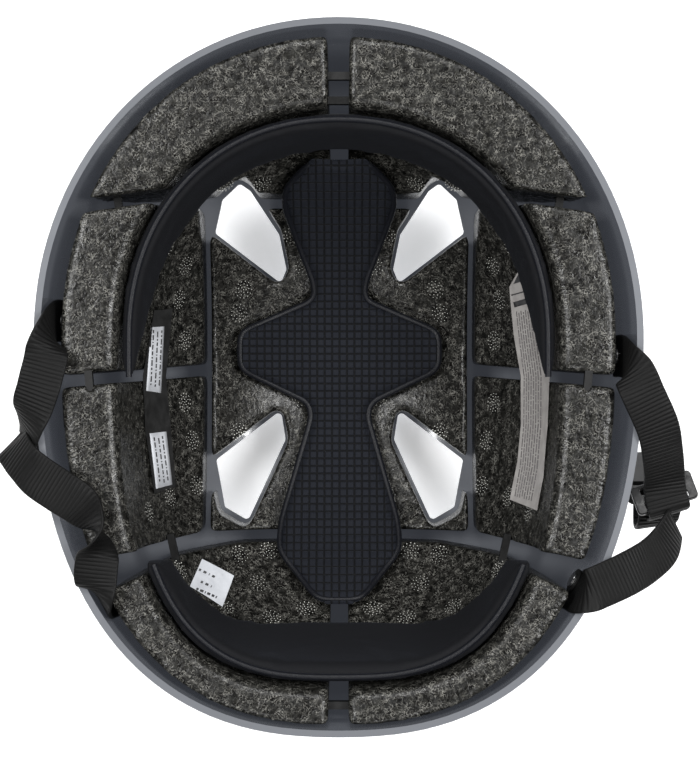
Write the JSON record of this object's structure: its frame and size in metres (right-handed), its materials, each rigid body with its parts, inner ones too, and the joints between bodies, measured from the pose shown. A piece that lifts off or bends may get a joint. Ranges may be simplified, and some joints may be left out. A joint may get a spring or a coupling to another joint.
{
  "type": "climbing helmet",
  "caption": "Hard-shell climbing helmet lying on its crown: segmented foam liner, comfort pads, four crown vents, webbing chin straps and a side-release buckle.",
  "frame": {"origin": "middle of the small flat at the lowest point of the crown, on which the helmet lies upside down", "axes": "+Z out of the head opening, away from the crown; +Y to the forehead; +X to the wearer's left side. The helmet is stored lying on its crown, so its free straps hang down outside the shell"},
  "size_m": [0.2745, 0.2799, 0.1562],
  "materials": {
    "shell": "glossy white moulded shell",
    "foam": "mottled black expanded bead foam with a slight skin",
    "link": "black moulded plastic",
    "pad_fabric": "blue-black padded fabric with an embossed grid and bound edge",
    "hook_tape": "black hook tape",
    "label_silver": "silver-grey film label",
    "label_dark": "black film label with two white fields",
    "label_white": "white film label",
    "webbing": "black ribbed webbing",
    "acetal": "black moulded acetal",
    "rivet": "bright rivet"
  },
  "bodies": {
    "helmet": {"outer_shell": "shell", "crown_liner": "foam", "front_liner_left": "foam", "front_liner_right": "foam", "side_front_liner_left": "foam", "side_front_liner_right": "foam", "side_rear_liner_left": "foam", "side_rear_liner_right": "foam", "rear_liner_left": "foam", "rear_liner_right": "foam", "front_liner_links": "link", "side_liner_links": "link", "rear_liner_links": "link", "centre_liner_links": "link", "crown_pad": "pad_fabric", "front_pad": "pad_fabric", "rear_pad": "pad_fabric", "crown_hook_patches": "hook_tape", "front_hook_patches": "hook_tape", "rear_hook_patches": "hook_tape", "instruction_label": "label_silver", "production_label": "label_dark", "size_label": "label_white", "strap_rivets": "rivet", "strap_washers": "rivet", "left_front_anchor_webbing": "webbing", "left_rear_anchor_webbing": "webbing", "right_front_anchor_webbing": "webbing", "right_rear_anchor_webbing": "webbing"},
    "left_straps": {"left_front_webbing": "webbing", "left_rear_webbing": "webbing", "left_divider": "acetal"},
    "left_chin_strap": {"left_chin_webbing": "webbing"},
    "buckle_plug": {"buckle_plug": "acetal"},
    "strap_keeper": {"strap_keeper": "acetal"},
    "right_straps": {"right_front_webbing": "webbing", "right_rear_webbing": "webbing", "right_divider": "acetal"},
    "right_buckle": {"right_short_webbing": "webbing", "buckle_socket": "acetal"}
  },
  "joints": [
    {"name": "left_strap_swing", "type": "hinge", "parent": "helmet", "child": "left_straps", "pos_m": [-0.1135, 0.002, 0.1415], "axis": [-0.27, 0.9581, -0.0958], "range_deg": [0, 120]},
    {"name": "left_chin_strap_swing", "type": "hinge", "parent": "left_straps", "child": "left_chin_strap", "pos_m": [-0.1235, -0.03, 0.111], "axis": [0, 1, 0], "range_deg": [0, 60]},
    {"name": "buckle_plug_slide", "type": "slide", "parent": "left_chin_strap", "child": "buckle_plug", "axis": [0, 0, 1], "range_m": [-0.024, 0.018]},
    {"name": "strap_keeper_slide", "type": "slide", "parent": "left_chin_strap", "child": "strap_keeper", "axis": [0, 0, 1], "range_m": [0, 0.014]},
    {"name": "right_strap_swing", "type": "hinge", "parent": "helmet", "child": "right_straps", "pos_m": [0.1145, 0.002, 0.1415], "axis": [-0.1848, -0.9823, 0.0289], "range_deg": [0, 120]},
    {"name": "right_buckle_swing", "type": "hinge", "parent": "right_straps", "child": "right_buckle", "pos_m": [0.129, -0.0505, 0.1175], "axis": [1, 0, 0], "range_deg": [0, 45]}
  ]
}
